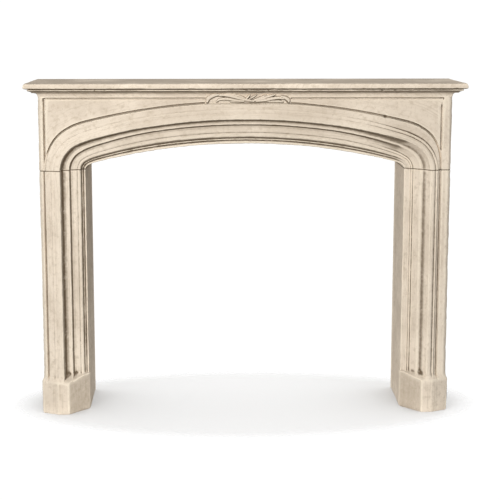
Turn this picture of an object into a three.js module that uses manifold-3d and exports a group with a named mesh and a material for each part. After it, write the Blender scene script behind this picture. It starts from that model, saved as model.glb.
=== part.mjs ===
import * as THREE from 'three';
import { mergeVertices } from 'three/addons/utils/BufferGeometryUtils.js';
import { ConvexGeometry } from 'three/addons/geometries/ConvexGeometry.js';
import Module from 'manifold-3d';

// Overall sizes in millimetres. The work is drawn as an elevation: x to the right, y up and z
// towards the viewer, and the last group turns it to stand on the floor with +Z up.
const shelfWidth = 1700;
const bodyWidth = 1604;
const bodyDepth = 318;
const totalHeight = 1314;
const jointGap = 0.3;

// Levels above the floor
const plinthHeight = 130;
const weatheringTop = 153;
const springing = 968;
const jambJoint = 973;
const bedJoint = 1276;

// Plan positions. The wall plane is the back of every stone.
const shelfProjection = (shelfWidth - bodyWidth) / 2;
const halfBody = bodyWidth / 2;
const halfDepth = (bodyDepth + shelfProjection) / 2;
const frontPlane = halfDepth - shelfProjection;
const wallPlane = -halfDepth;

// The face of the spandrels and outer strips lies a little behind the crest of the outer roll
const faceSetback = 16;
const facePlane = frontPlane - faceSetback;
const frontStretch = (shelfProjection + faceSetback) / shelfProjection;

// Arch of the opening: from the jamb a tight haunch arc, an easing arc and the long crown arc
const halfOpening = 628;
const haunchRadius = 24;
const haunchTurn = THREE.MathUtils.degToRad(65);
const easingRadius = 211;
const easingTurn = THREE.MathUtils.degToRad(11.2);
const haunchSteps = 8;
const easingSteps = 3;
const crownSteps = 12;
const wideningHeight = 85;

// Moulding section, from the arris of the opening outwards. Each corner has its distance from the
// arris beside the left jamb, beside the right jamb and at the crown, where the work widens, then
// its depth behind the front plane and its depth beside the right jamb.
const splayDepth = 74;
const jambWidth = halfBody - halfOpening;
const members = {
  lip: [4, 4, 7, 71.5, 73],
  lipGroove: [9, 8, 13, 78, 71],
  lipCrest: [12, 12, 17, 69, 67],
  lipStepFoot: [15, 15, 22, 73, 64],
  lipStep: [17, 17, 26, 60, 61],
  innerRollCrest: [24, 22, 37, 54.5, 60],
  innerRollGroove: [31, 25, 46, 55.5, 63],
  secondCrest: [36, 28, 52, 52.5, 60],
  secondSide: [42, 33, 59, 52, 62],
  coveFoot: [47, 35, 65, 51.5, 56.5],
  cove: [53, 46, 71, 49, 47],
  filletFoot: [58, 55, 76, 45.5, 37],
  filletTop: [60, 61, 78, 33, 33],
  hollow: [72, 70, 86, 33, 30.5],
  hollowRise: [81, 79, 91.5, 30.5, 22],
  greatStepFoot: [87.5, 86, 95.5, 26, 12],
  greatStep: [91, 92, 98.5, 5, 4],
  outerRollSide: [97, 96, 103, 1, 1.5],
  outerRollCrest: [104, 103, 112, 0, 0],
  outerRollFoot: [115, 111, 124, 3, 4],
  firstReed: [117, 113, 126, 4.5, 9],
  secondReed: [126, 121, 139, 5, 6.5],
  secondReedFoot: [128, 124, 141, 7, 12],
};

// Hood line: the groove outside the mouldings. On the left it fades out above the springing, and
// the shaft's groove below lies further out.
const hoodAtCrown = 168;
const hoodAtJamb = { left: 150, right: 134 };
const hoodWideningHeight = 26;
const hoodCeiling = 1236;
const hoodFade = [1010, 1075];
const hoodShallowing = 0.45;
const shaftGroove = { left: 154, right: 134 };
const grooveDepth = 26;
const grooveHalfWidth = 4.6;
const grooveLipDrop = 3;

// Vertical outer corners
const cornerCant = 10;
const cornerSetback = faceSetback + 10;

// Plinth in plan, from the outer edge inwards: a wide cant, a narrow front and a splay to the
// opening. Its shoulder rises along the splay, and the weathering above it leans back to the shaft.
const plinthSide = 8;
const plinthProud = 10;
const plinthCantWidth = 58;
const plinthCantDepth = 19;
const plinthFrontEnd = 101;
const plinthSplayEnd = 177;
const plinthSplayDepth = 70;
const splayLift = 18;
const weatheringInset = 20;
const weatheringFrontInset = 12;
const shaftFoot = 90;
const sliver = 0.5;

// Shelf section from the bed joint upwards: projection from the body and height above the joint
const shelfBed = [
  [19, 0],
  [21, 4],
  [30, 8],
  [34, 9],
  [34, 12.5],
  [31, 13],
  [31, 15],
  [40, 16],
];
const noseLow = 19;
const noseSteps = 7;
const noseDrop = 7;

// Flared fascia at the top of the lintel
const fasciaProjection = 12;
const fasciaHeight = 15;
const fasciaSteps = 4;

// Border grooves cut in the face of the lintel. The right upright one stops short of both ends.
const leftBorder = 779;
const rightBorder = 762;
const rightBorderFoot = springing + 84;
const topGrooveLevel = 1253;
const topGrooveBeyond = 20;
const rightBorderHead = topGrooveLevel - 24;
const borderGroove = { width: 6, depth: 6 };

// Carved ornament at the crown. Ribbons, leaves and feathers are given as shares of its half
// length and of its height, for the right half.
const ornamentLeft = -155;
const ornamentRight = 169;
const ornamentFoot = 1238;
const ornamentTop = 1268;
const ribbon = [[0.97, 0], [0.93, 0.4], [0.8, 0.8], [0.55, 0.85], [0.3, 0.6], [0.02, 0.2]];
const leaf = [[0.88, 0.02], [0.7, 0.35], [0.45, 0.28], [0.15, 0.02]];
const feather = [[0.05, 0.3], [0.18, 0.7], [0.3, 1]];
const middleFeather = [[0, 0.1], [0.02, 0.6], [0.05, 1]];
const lobeWidths = { ribbon: 7.5, leaf: 6, feather: 5.5, middleFeather: 6 };
const lobeSides = 8;
const lobeSteps = 10;
const lobeRelief = 0.9;
const lobeTip = 0.25;

const limestone = { color: 0xd9cbb6, roughness: 0.85, metalness: 0 };

const wasm = await Module();
wasm.setup();

// Solid with merged corners, ready for joining and cutting
function solidOf(geometry) {
  const bare = geometry.clone();
  bare.deleteAttribute('normal');
  bare.deleteAttribute('uv');
  const merged = mergeVertices(bare, 1e-4);
  const vertProperties = new Float32Array(merged.attributes.position.array);
  const triVerts = new Uint32Array(merged.index.array);
  return new wasm.Manifold(new wasm.Mesh({ numProp: 3, vertProperties, triVerts }));
}

function geometryOf(solid) {
  const mesh = solid.getMesh();
  const geometry = new THREE.BufferGeometry();
  geometry.setAttribute('position', new THREE.BufferAttribute(new Float32Array(mesh.vertProperties), 3));
  geometry.setIndex(new THREE.BufferAttribute(new Uint32Array(mesh.triVerts), 1));
  geometry.computeVertexNormals();
  return geometry;
}

// Closed skin over equal rings of points. Turned inside out when the rings run the other way.
function skin(rings) {
  const count = rings[0].length;
  const positions = rings.flat().flatMap((p) => [p.x, p.y, p.z]);
  const index = [];
  for (let r = 0; r + 1 < rings.length; r += 1) {
    for (let k = 0; k < count; k += 1) {
      const a = r * count + k;
      const b = r * count + ((k + 1) % count);
      index.push(a, b, b + count, a, b + count, a + count);
    }
  }
  const first = capTriangles(rings[0]);
  const last = capTriangles(rings[rings.length - 1]);
  const lastStart = (rings.length - 1) * count;
  for (const [a, b, c] of first) index.push(c, b, a);
  for (const [a, b, c] of last) index.push(lastStart + a, lastStart + b, lastStart + c);
  const geometry = new THREE.BufferGeometry();
  geometry.setAttribute('position', new THREE.Float32BufferAttribute(positions, 3));
  geometry.setIndex(signedVolume(positions, index) < 0 ? index.toReversed() : index);
  return geometry;
}

// Triangles over a flat ring, in the ring's own sense
function capTriangles(ring) {
  const normal = new THREE.Vector3();
  ring.forEach((p, k) => {
    normal.add(p.clone().sub(ring[0]).cross(ring[(k + 1) % ring.length].clone().sub(ring[0])));
  });
  normal.normalize();
  const along = ring[1].clone().sub(ring[0]).normalize();
  const across = normal.clone().cross(along);
  const flat = ring.map((p) => new THREE.Vector2(p.dot(along), p.dot(across)));
  return THREE.ShapeUtils.triangulateShape(flat, []);
}

function signedVolume(positions, index) {
  const corner = (i) => new THREE.Vector3().fromArray(positions, 3 * i);
  let volume = 0;
  for (let i = 0; i < index.length; i += 3) {
    volume += corner(index[i]).dot(corner(index[i + 1]).cross(corner(index[i + 2])));
  }
  return volume;
}

// Upright prism over a plan outline given as pairs of x and depth behind the front plane
function planPrism(outline, bottom, top) {
  const shape = new THREE.Shape(outline.map(([x, depth]) => new THREE.Vector2(x, depth)));
  const geometry = new THREE.ExtrudeGeometry(shape, { depth: top - bottom, bevelEnabled: false });
  return geometry.rotateX(-Math.PI / 2).translate(0, bottom, frontPlane);
}

// Prism from the wall plane to the front plane over an outline drawn in elevation
function elevationPrism(outline) {
  const shape = new THREE.Shape(outline.map((p) => new THREE.Vector2(p.x, p.y)));
  const geometry = new THREE.ExtrudeGeometry(shape, { depth: bodyDepth, bevelEnabled: false });
  return geometry.translate(0, 0, wallPlane);
}

// Courses that return round the two ends: one level rectangle for each projection and level
function returnedCourses(section) {
  const rings = section.map(([projection, level]) => {
    const x = halfBody + projection;
    const z = facePlane + projection * frontStretch;
    return [
      new THREE.Vector3(-x, level, wallPlane),
      new THREE.Vector3(x, level, wallPlane),
      new THREE.Vector3(x, level, z),
      new THREE.Vector3(-x, level, z),
    ];
  });
  return skin(rings);
}

// Stations along the opening's arris, from the right springing over the crown to the left one.
// Each has its place, the outward direction and its share of the way from jamb to crown.
function archStations() {
  const half = [];
  const station = (cx, cy, radius, angle) => {
    const out = new THREE.Vector2(Math.cos(angle), Math.sin(angle));
    half.push({ x: cx + radius * out.x, y: cy + radius * out.y, out });
  };
  const haunch = new THREE.Vector2(halfOpening - haunchRadius, springing);
  for (let i = 0; i < haunchSteps; i += 1) {
    station(haunch.x, haunch.y, haunchRadius, (haunchTurn * i) / haunchSteps);
  }
  const inward = haunchRadius - easingRadius;
  const easing = new THREE.Vector2(
    haunch.x + inward * Math.cos(haunchTurn),
    haunch.y + inward * Math.sin(haunchTurn),
  );
  for (let i = 0; i < easingSteps; i += 1) {
    station(easing.x, easing.y, easingRadius, haunchTurn + (easingTurn * i) / easingSteps);
  }
  const crownStart = haunchTurn + easingTurn;
  const startX = easing.x + easingRadius * Math.cos(crownStart);
  const startY = easing.y + easingRadius * Math.sin(crownStart);
  const crownRadius = startX / Math.cos(crownStart);
  const crownCentre = startY - crownRadius * Math.sin(crownStart);
  for (let i = 0; i <= crownSteps; i += 1) {
    const angle = crownStart + ((Math.PI / 2 - crownStart) * i) / crownSteps;
    station(0, crownCentre, crownRadius, angle);
  }
  const mirrored = half.slice(0, -1).reverse().map(({ x, y, out }) => (
    { x: -x, y, out: new THREE.Vector2(-out.x, out.y) }
  ));
  return [...half, ...mirrored].map((s) => {
    const toCrown = THREE.MathUtils.smoothstep(s.y, springing, springing + wideningHeight);
    return { ...s, toCrown };
  });
}

// Moulding section at a given share of the way to the crown, as pairs of distance and depth. The
// groove outside it is as deep as the share shown says.
function mouldingSection(side, toCrown, hood, shown) {
  const section = Object.values(members).map(([left, right, crown, depth, rightDepth]) => [
    THREE.MathUtils.lerp(side === 'left' ? left : right, crown, toCrown),
    THREE.MathUtils.lerp(side === 'left' ? depth : rightDepth, depth, toCrown),
  ]);
  const reed = section[section.length - 1];
  return [
    [0, splayDepth],
    ...section,
    [Math.max(hood - grooveHalfWidth, reed[0] + sliver), reed[1] + grooveLipDrop],
    [hood, THREE.MathUtils.lerp(faceSetback, grooveDepth, shown)],
    [hood + grooveHalfWidth, faceSetback],
  ];
}

// Distance of the hood line from the arris at a station, and how much of its groove is there
function hoodAt(side, station) {
  const widened = THREE.MathUtils.smoothstep(station.y, springing, springing + hoodWideningHeight);
  const wide = THREE.MathUtils.lerp(hoodAtJamb[side], hoodAtCrown, widened);
  const distance = Math.min(wide, (hoodCeiling - station.y) / Math.max(station.out.y, 0.01));
  const level = station.y + distance * station.out.y;
  const faded = side === 'left' ? THREE.MathUtils.smoothstep(level, ...hoodFade) : 1;
  return { distance, shown: faded * (1 - hoodShallowing * station.toCrown) };
}

// Everything cut away in front of the arch mouldings and the spandrels, as one ring for each station
function archCutter() {
  const clear = 3;
  const beyondCorner = 400;
  const stations = archStations();
  const ringAt = (station, x, y) => {
    const side = station.x < 0 ? 'left' : 'right';
    const { distance, shown } = hoodAt(side, station);
    const section = mouldingSection(side, station.toCrown, distance, shown);
    const [lastWidth] = section[section.length - 1];
    const outline = [
      [-clear, splayDepth + clear / 4],
      ...section.slice(1),
      [lastWidth + beyondCorner, faceSetback],
      [lastWidth + beyondCorner, -clear],
      [-clear, -clear],
    ];
    return outline.map(([width, depth]) => new THREE.Vector3(
      x + station.out.x * width,
      y + station.out.y * width,
      frontPlane - depth,
    ));
  };
  const rings = stations.map((s) => ringAt(s, s.x, s.y));
  const right = stations[0];
  const left = stations[stations.length - 1];
  const belowJoint = 10;
  rings.unshift(ringAt(right, right.x, right.y - belowJoint));
  rings.push(ringAt(left, left.x, left.y - belowJoint));
  return solidOf(skin(rings));
}

// V groove along a straight line of the front face
function borderCut(x1, y1, x2, y2) {
  const from = new THREE.Vector2(x1, y1);
  const to = new THREE.Vector2(x2, y2);
  const across = to.clone().sub(from).normalize().rotateAround(new THREE.Vector2(), Math.PI / 2);
  const ringAt = (p) => [
    [-borderGroove.width, -borderGroove.depth],
    [0, borderGroove.depth],
    [borderGroove.width, -borderGroove.depth],
  ].map(([side, depth]) => new THREE.Vector3(
    p.x + across.x * side,
    p.y + across.y * side,
    facePlane - depth,
  ));
  return solidOf(skin([ringAt(from), ringAt(to)]));
}

// Leaf or ribbon of the ornament: a tapered lobe along a curve that lies on the front face
function lobe(points, width) {
  const curve = new THREE.CatmullRomCurve3(
    points.map(([x, y]) => new THREE.Vector3(x, y, facePlane)),
  );
  const rings = [];
  for (let i = 0; i <= lobeSteps; i += 1) {
    const t = i / lobeSteps;
    const centre = curve.getPoint(t);
    const along = curve.getTangent(t);
    const swell = width * THREE.MathUtils.lerp(lobeTip, 1, Math.sin(Math.PI * t));
    const ring = [];
    for (let k = 0; k < lobeSides; k += 1) {
      const angle = (2 * Math.PI * (k + 0.5)) / lobeSides;
      const side = swell * Math.cos(angle);
      const proud = lobeRelief * swell * Math.sin(angle);
      ring.push(new THREE.Vector3(
        centre.x - along.y * side,
        centre.y + along.x * side,
        centre.z + proud,
      ));
    }
    rings.push(ring);
  }
  return solidOf(skin(rings));
}

// Two mirrored ribbons with a leaf under each and three feathers between them
function ornament() {
  const middle = (ornamentLeft + ornamentRight) / 2;
  const reach = (ornamentRight - ornamentLeft) / 2;
  const rise = ornamentTop - ornamentFoot;
  const place = (side, points) => (
    points.map(([share, height]) => [middle + side * reach * share, ornamentFoot + rise * height])
  );
  const lobes = [lobe(place(1, middleFeather), lobeWidths.middleFeather)];
  for (const side of [-1, 1]) {
    lobes.push(lobe(place(side, ribbon), lobeWidths.ribbon));
    lobes.push(lobe(place(side, leaf), lobeWidths.leaf));
    lobes.push(lobe(place(side, feather), lobeWidths.feather));
  }
  return lobes.reduce((all, one) => all.add(one));
}

// Prism that takes the outer vertical corner off between two levels
function cornerCut(side, bottom, top) {
  const x = side * halfBody;
  const outline = [
    [x + side, faceSetback - 1],
    [x - side * (cornerCant + 1), faceSetback - 1],
    [x, cornerSetback],
    [x + side, cornerSetback + 1],
  ];
  return solidOf(planPrism(side > 0 ? outline.toReversed() : outline, bottom, top));
}

function makeLintel() {
  const foot = jambJoint + jointGap;
  const fasciaFoot = bedJoint - fasciaHeight;
  const arch = archStations()
    .filter((s) => s.y > foot)
    .map((s) => new THREE.Vector2(s.x, s.y));
  const outline = [
    new THREE.Vector2(-halfOpening, foot),
    ...arch.reverse(),
    new THREE.Vector2(halfOpening, foot),
    new THREE.Vector2(halfBody, foot),
    new THREE.Vector2(halfBody, fasciaFoot),
    new THREE.Vector2(-halfBody, fasciaFoot),
    new THREE.Vector2(-halfBody, foot),
  ];
  const fascia = [[0, fasciaFoot - 1]];
  for (let i = 0; i <= fasciaSteps; i += 1) {
    const turn = (Math.PI / 2) * (i / fasciaSteps);
    fascia.push([fasciaProjection * (1 - Math.cos(turn)), fasciaFoot + fasciaHeight * Math.sin(turn)]);
  }
  const below = foot - 1;
  const block = solidOf(elevationPrism(outline))
    .subtract(archCutter())
    .subtract(cornerCut(-1, below, bedJoint))
    .subtract(cornerCut(1, below, bedJoint));
  const grooves = [
    borderCut(-leftBorder, below, -leftBorder, topGrooveLevel),
    borderCut(-leftBorder, topGrooveLevel, ornamentLeft, topGrooveLevel),
    borderCut(ornamentRight, topGrooveLevel, rightBorder + topGrooveBeyond, topGrooveLevel),
    borderCut(rightBorder, rightBorderFoot, rightBorder, rightBorderHead),
  ];
  return grooves
    .reduce((stone, groove) => stone.subtract(groove), block.add(solidOf(returnedCourses(fascia))))
    .add(ornament());
}

// The moulded shaft on its plinth
function makeJamb(name) {
  const side = name === 'left' ? -1 : 1;
  const toPlan = ([fromOuterEdge, depth]) => [side * (halfBody - fromOuterEdge), depth];
  const section = mouldingSection(name, 0, shaftGroove[name], 1).reverse();
  const shaftOutline = [
    [0, bodyDepth],
    [0, cornerSetback],
    [cornerCant, faceSetback],
    ...section.map(([width, depth]) => [jambWidth - width, depth]),
    [jambWidth, bodyDepth],
  ].map(toPlan);
  const plinthOutline = [
    [-plinthSide, bodyDepth, plinthHeight],
    [-plinthSide, plinthCantDepth, plinthHeight],
    [plinthCantWidth, -plinthProud, plinthHeight],
    [plinthFrontEnd, -plinthProud, plinthHeight],
    [plinthSplayEnd, plinthSplayDepth, plinthHeight + splayLift],
    [jambWidth + sliver, bodyDepth, plinthHeight + splayLift],
  ];
  const weatheredOutline = [
    [sliver, bodyDepth],
    [sliver, cornerSetback],
    [plinthCantWidth, weatheringFrontInset],
    [plinthFrontEnd - weatheringFrontInset, weatheringInset],
    [jambWidth - weatheringInset / 2, splayDepth],
    [jambWidth - sliver, bodyDepth],
  ];
  const corners = [
    ...plinthOutline.map(([edge, depth]) => [...toPlan([edge, depth]), 0]),
    ...plinthOutline.map(([edge, depth, shoulder]) => [...toPlan([edge, depth]), shoulder]),
    ...weatheredOutline.map((p) => [...toPlan(p), weatheringTop]),
  ].map(([x, depth, level]) => new THREE.Vector3(x, level, frontPlane - depth));
  const shaft = planPrism(side > 0 ? shaftOutline.toReversed() : shaftOutline, shaftFoot, jambJoint);
  return solidOf(new ConvexGeometry(corners)).add(solidOf(shaft));
}

function makeShelf() {
  const foot = bedJoint + jointGap;
  const thickness = totalHeight - foot;
  const section = shelfBed.map(([projection, height]) => [projection, foot + height]);
  const noseHeight = thickness - noseLow;
  for (let i = 0; i <= noseSteps; i += 1) {
    const turn = (Math.PI / 2) * (i / noseSteps);
    const level = totalHeight - noseHeight * (1 - Math.sin(turn));
    section.push([shelfProjection - noseDrop * (1 - Math.cos(turn)), level]);
  }
  return solidOf(returnedCourses(section));
}

const stones = {
  mantel_shelf: makeShelf(),
  lintel: makeLintel(),
  left_jamb: makeJamb('left'),
  right_jamb: makeJamb('right'),
};

// The turned group stands the elevation up on the floor
const mantel = new THREE.Group();
const standing = new THREE.Group();
standing.rotation.x = Math.PI / 2;
for (const [name, solid] of Object.entries(stones)) {
  const stone = new THREE.Mesh(geometryOf(solid), new THREE.MeshStandardMaterial(limestone));
  stone.name = name;
  standing.add(stone);
}
mantel.add(standing);

export default mantel;
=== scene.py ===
import math

import bmesh
import bpy
import numpy as np
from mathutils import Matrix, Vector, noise


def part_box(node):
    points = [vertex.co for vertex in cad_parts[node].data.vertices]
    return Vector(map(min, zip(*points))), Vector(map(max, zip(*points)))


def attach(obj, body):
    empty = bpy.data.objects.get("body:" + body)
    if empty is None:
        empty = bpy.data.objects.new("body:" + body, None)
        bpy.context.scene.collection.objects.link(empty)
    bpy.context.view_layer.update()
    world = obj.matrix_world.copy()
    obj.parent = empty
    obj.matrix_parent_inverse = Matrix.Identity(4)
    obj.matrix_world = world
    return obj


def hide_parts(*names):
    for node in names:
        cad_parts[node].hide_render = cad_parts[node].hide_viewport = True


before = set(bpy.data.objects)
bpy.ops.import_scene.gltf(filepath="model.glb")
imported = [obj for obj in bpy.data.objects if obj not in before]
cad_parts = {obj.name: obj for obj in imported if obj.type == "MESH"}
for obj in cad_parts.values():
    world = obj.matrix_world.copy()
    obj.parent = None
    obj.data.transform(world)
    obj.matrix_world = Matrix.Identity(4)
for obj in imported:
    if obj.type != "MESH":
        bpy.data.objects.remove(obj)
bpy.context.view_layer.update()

# Lengths are in millimetres, in the frame's axes: X to the right, the carved front faces -Y, Z up
MM = 0.001


def node_box(name):
    """Lowest and highest corner of a CAD node, in millimetres."""
    low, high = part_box(name)
    return np.array(low) / MM, np.array(high) / MM


shelf_low, shelf_high = node_box("mantel_shelf")
lintel_low, lintel_high = node_box("lintel")
_, jamb_high = node_box("left_jamb")

# Planes and levels of the stones, from the frame
SHELF_PROJECTION = 48
HALF_BODY = shelf_high[0] - SHELF_PROJECTION
WALL = shelf_high[1]
CREST = shelf_low[1] + SHELF_PROJECTION
JAMB_TOP = jamb_high[2]
LINTEL_FOOT = lintel_low[2]
BED = lintel_high[2]
SHELF_FOOT = shelf_low[2]
SHELF_TOP = shelf_high[2]

# Depths are measured back from the crest of the outer roll
BODY_DEPTH = WALL - CREST
FACE_SETBACK = 16
FACE = CREST + FACE_SETBACK
CORNER_CANT = 10
SPLAY_DEPTH = 74

# Arch of the opening: a tight haunch arc, an easing arc and the long crown arc
HALF_OPENING = 628
JAMB_WIDTH = HALF_BODY - HALF_OPENING
SPRINGING = 968
HAUNCH_RADIUS = 24
HAUNCH_TURN = math.radians(65)
EASING_RADIUS = 211
EASING_TURN = math.radians(11.2)
WIDENING_HEIGHT = 85

# Moulding section from the arris outwards. Each corner has its distance from the arris beside the
# left jamb, beside the right jamb and at the crown, then its depth, its depth beside the right
# jamb, and how far the stretch that ends there swells.
MEMBERS = (
    (4, 4, 7, 71.5, 73, 0.3),
    (9, 8, 13, 78, 71, 0),
    (12, 12, 17, 69, 67, 0.6),
    (15, 15, 22, 73, 64, 0),
    (17, 17, 26, 60, 61, 0),
    (24, 22, 37, 54.5, 60, 0.8),
    (31, 25, 46, 55.5, 63, 0.4),
    (36, 28, 52, 52.5, 60, 0.6),
    (42, 33, 59, 52, 62, 0.4),
    (47, 35, 65, 51.5, 56.5, 0),
    (53, 46, 71, 49, 47, -0.6),
    (58, 55, 76, 45.5, 37, -0.6),
    (60, 61, 78, 33, 33, 0),
    (72, 70, 86, 33, 30.5, -0.4),
    (81, 79, 91.5, 30.5, 22, -0.6),
    (87.5, 86, 95.5, 26, 12, -0.3),
    (91, 92, 98.5, 5, 4, 0),
    (97, 96, 103, 1, 1.5, 1.0),
    (104, 103, 112, 0, 0, 0.4),
    (115, 111, 124, 3, 4, 0.5),
    (117, 113, 126, 4.5, 9, 0),
    (126, 121, 139, 5, 6.5, 0.8),
    (128, 124, 141, 7, 12, 0),
)

# Hood line, the outermost groove of the moulding. On the left it fades out towards the jamb.
HOOD_AT_CROWN = 168
HOOD_AT_JAMB = {-1: 150, 1: 134}
HOOD_WIDENING_HEIGHT = 26
SHAFT_GROOVE = {-1: 154, 1: 134}
HOOD_CEILING = 1236
HOOD_FADE = (1010, 1075)
HOOD_SHALLOWING = 0.45
GROOVE_DEPTH = 26
GROOVE_HALF_WIDTH = 4.6
GROOVE_LEAD = 3
GROOVE_CLEARANCE = 0.5

# Border grooves in the face of the lintel: place and levels of the uprights, then the level one
BORDER = {-1: 779, 1: 762}
TOP_GROOVE = 1253
BORDER_SPAN = {-1: (0, TOP_GROOVE + 1), 1: (SPRINGING + 84, TOP_GROOVE - 24)}
TOP_GROOVE_ENDS = (-154, 171)
TOP_GROOVE_SHARE = 0.42
TOP_GROOVE_BEYOND = {-1: 1, 1: 10}
BORDER_HALF_WIDTH = 5
BORDER_DEPTH = 11

# Plinths: outline as distances in from the jamb's outer edge and depths, then the weathering
PLINTH_HEIGHT = 130
PLINTH_OUTLINE = ((-8, 19), (58, -10), (101, -10), (177, 70))
WEATHERING_RISE = (16, 12)
WEATHERING_REACH = 18
LEAST_WEATHERING = 3
SPLAY_LIFT = 18
SPLAY_HEAD = PLINTH_HEIGHT + SPLAY_LIFT

# Shelf section from the bed joint upwards: projection from the body and height above the joint
SHELF_BED = ((19, 0), (21, 4), (30, 8), (34, 9), (34, 12.5), (31, 13), (31, 15), (40, 16))
NOSE_START = 19
NOSE_DROP = 7
FRONT_STRETCH = (SHELF_PROJECTION + FACE_SETBACK) / SHELF_PROJECTION
CORNER_EASE = 3

# Fascia, a small cove at the head of the lintel
FASCIA_PROJECTION = 12
FASCIA_HEIGHT = 15
FASCIA_FOOT = BED - FASCIA_HEIGHT
FASCIA_TUCK = (-1.2, -2)
BLOCK_TOP = FASCIA_FOOT + 1.5

# Carved ornament at the crown: strokes over the face, each with its half width and its relief
ORNAMENT_STROKES = (
    (((-149, 1241), (-144, 1254), (-128, 1264), (-104, 1269)), 9.5, 6.5),
    (((-128, 1264), (-91, 1267), (-58, 1263), (-25, 1255), (7, 1247), (32, 1243)), 7, 5.5),
    (((-112, 1243), (-98, 1251), (-72, 1252), (-40, 1247), (-8, 1243)), 6.5, 4.5),
    (((-100, 1270), (-62, 1271), (-30, 1264), (-4, 1256)), 5, 4),
    (((-60, 1241), (0, 1240), (90, 1241)), 4, 2.5),
    (((24, 1244), (56, 1251), (84, 1261), (112, 1268)), 6.5, 5.5),
    (((40, 1243), (73, 1247), (100, 1253), (127, 1256), (150, 1252)), 7.5, 6),
    (((138, 1262), (152, 1256), (163, 1248), (166, 1240)), 8.5, 7.5),
    (((73, 1241), (100, 1243), (127, 1243), (144, 1240)), 5, 3.5),
    (((0, 1251), (8, 1259), (16, 1269)), 5, 6),
    (((12, 1251), (26, 1259), (42, 1268)), 5, 6),
    (((27, 1247), (56, 1257), (78, 1268)), 4.5, 5.5),
)
ORNAMENT_X = (-158, 175)
ORNAMENT_Z = (1234, 1274)
ORNAMENT_FOOT = 1237
ORNAMENT_ROOT = 12
RELIEF = 1.9
EDGE_RELIEF = 0.25
TIP_WIDTH = 0.35
TAPER = (0.1, 0.8)
SUNK = -1.2

# Columns round a section and rows along it
SECTION_STEP = 2.2
FEWEST_STEPS = 3
FACE_COLUMNS = 34
SIDE_COLUMNS = 24
BACK_COLUMNS = 8
SOFFIT_COLUMNS = 20
NARROW_POINTS = 5
QUARTER_POINTS = 9
SPREAD_SAMPLES = 240
GROOVE_FOCUS = (5, 9)
EDGE_FOCUS = (8, 4)
STATION_STEP = 6
HAUNCH_STEP = 4
JOINT_STATIONS = (0, 1.2, 2.5, 4, 6, 9, 12.5)
FOOT_ROWS = (0, 1.5, 3, 6)
FIRST_PLINTH_ROW = 10
PLINTH_STEP = 5
WEATHERING_ROWS = 9
SHAFT_STEP = 5
JOINT_ROWS = (12, 8, 5, 3, 1.5, 0)
JAMB_SOFTENING = 2
RETURN_STEP = 5
SHELF_STEP = 1.8
SHELF_UNDER = (3, 10, 40, 120, WALL - FACE - 4)
SHELF_OVER = (1.5, 4, 8, *np.linspace(14, WALL - FACE + 30, 34))
FASCIA_STEP = 1.6
FASCIA_UNDER = (4, 12)
FASCIA_OVER = (3, 8, 16)
ORNAMENT_STEP = 1.2
STROKE_POINTS = 48

# Least values that count: of a place or a run, of a length, of a rise, and of a gap to a plane
TINY = 1e-6
NO_LENGTH = 1e-9
LEAST_RISE = 0.01
ON_PLANE = 1

# Wear of the stone: heights and lengths of its unevenness, each from its own part of the noise
FRACTAL_SMOOTHNESS = 0.8
FRACTAL_LACUNARITY = 2.1
WAVE = 1.1
WAVE_LENGTH = 170
RIPPLE = 0.45
RIPPLE_LENGTH = 34
RIPPLE_PART = 500
GRAIN = 0.22
GRAIN_LENGTH = 9
GRAIN_PART = 900
CREST_LOSS = 1.6
CREST_SMOOTHING = 3
CREST_HEIGHT = 0.3
LOSS_LENGTH = 22
LOSS_PART = 1300
LOSS_BIAS = 0.15
WALL_FADE = (0, 8)

# Worn joints and feet: how far from the arris and how much, then the unevenness of both
JOINT_EASE = (4, 2.0)
FOOT_EASE = (5, 2.4)
UNEVEN = 0.6
UNEVEN_LENGTH = 30
UNEVEN_PART = 2100

# Chips on the crests, with their number and seed on each surface, and losses at known places,
# with their x, z and radius
CHIP_SEED = 11
CHIP_RADIUS = (3, 7)
CHIP_SINK = 0.3
CHIP_CREST = 0.6
CHIP_FROM_WALL = 20
JAMB_CHIPS = {-1: (9, 1), 1: (9, 3)}
LINTEL_CHIPS = (16, 7)
SHELF_CHIPS = (18, 9)
FASCIA_CHIPS = (3, 12)
NICK_SINK = 0.65
NICK_FACING = 0.3
LINTEL_NICKS = ((541, 1184, 8.5),)
SHELF_NICKS = (
    (-578, 1287, 5), (-541, 1287, 4), (0, 1287, 4),
    (84, 1287, 4), (521, 1286, 5), (570, 1286, 5),
)

# Painted shade, a darker colour where less light falls: surfaces that face down, right or left, the
# plinth splays, the reveals and the right jamb's hollow, with less of it at the right haunch; then the
# dark line of the jamb joint, which is real dirt
RIGHT_FACING = 0.75
LEFT_FACING = 0.35
SPLAY_SHADE = 0.6
SPLAY_TURN = (0.35, 0.6)
SPLAY_FADE = 6
REVEAL_SHADE = {-1: 0.57, 1: 0.5}
REVEAL_TURN = (0.5, 0.8)
REVEAL_FADE = 12
HOLLOW_SHADE = 0.58
HOLLOW_BAND = ((684, 694), (724, 702))
HOLLOW_SHADE_FADE = 60
SOFFIT_FADE = 6
LESS_SHADED_HAUNCH = (685, 1035)
LESS_SHADED_REACH = (105, 45)
LESS_SHADED_SHARE = 0.6
JOINT_BAND = (0.6, 3.6)
FASCIA_SHADE_SHARE = 0.12

# Hollows, where dark dirt and painted shade lie: smoothing that finds narrow and wide ones, with the
# shares of a point, of its neighbours round the section and of those along it, and the share taken after
# wear
FINE_SMOOTHING = 5
BROAD_SMOOTHING = 40
SMOOTHING_SHARES = (0.4, 0.4, 0.2)
WORN_SHARE = 0.35

# Meshes
MERGE_METRES = 0.00001
SHARP_ANGLE = math.radians(50)

# Noises in the limestone: scale, detail and roughness
NOISES = {
    "cloud": (5.0, 5.0, 0.55),
    "mottle": (52.0, 5.0, 0.68),
    "speck": (240.0, 3.0, 0.6),
    "streak": (160.0, 4.0, 0.6),
    "pit": (130.0, 2.0, 0.5),
}
STREAK_STRETCH = (1.0, 0.045, 1.0)

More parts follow.
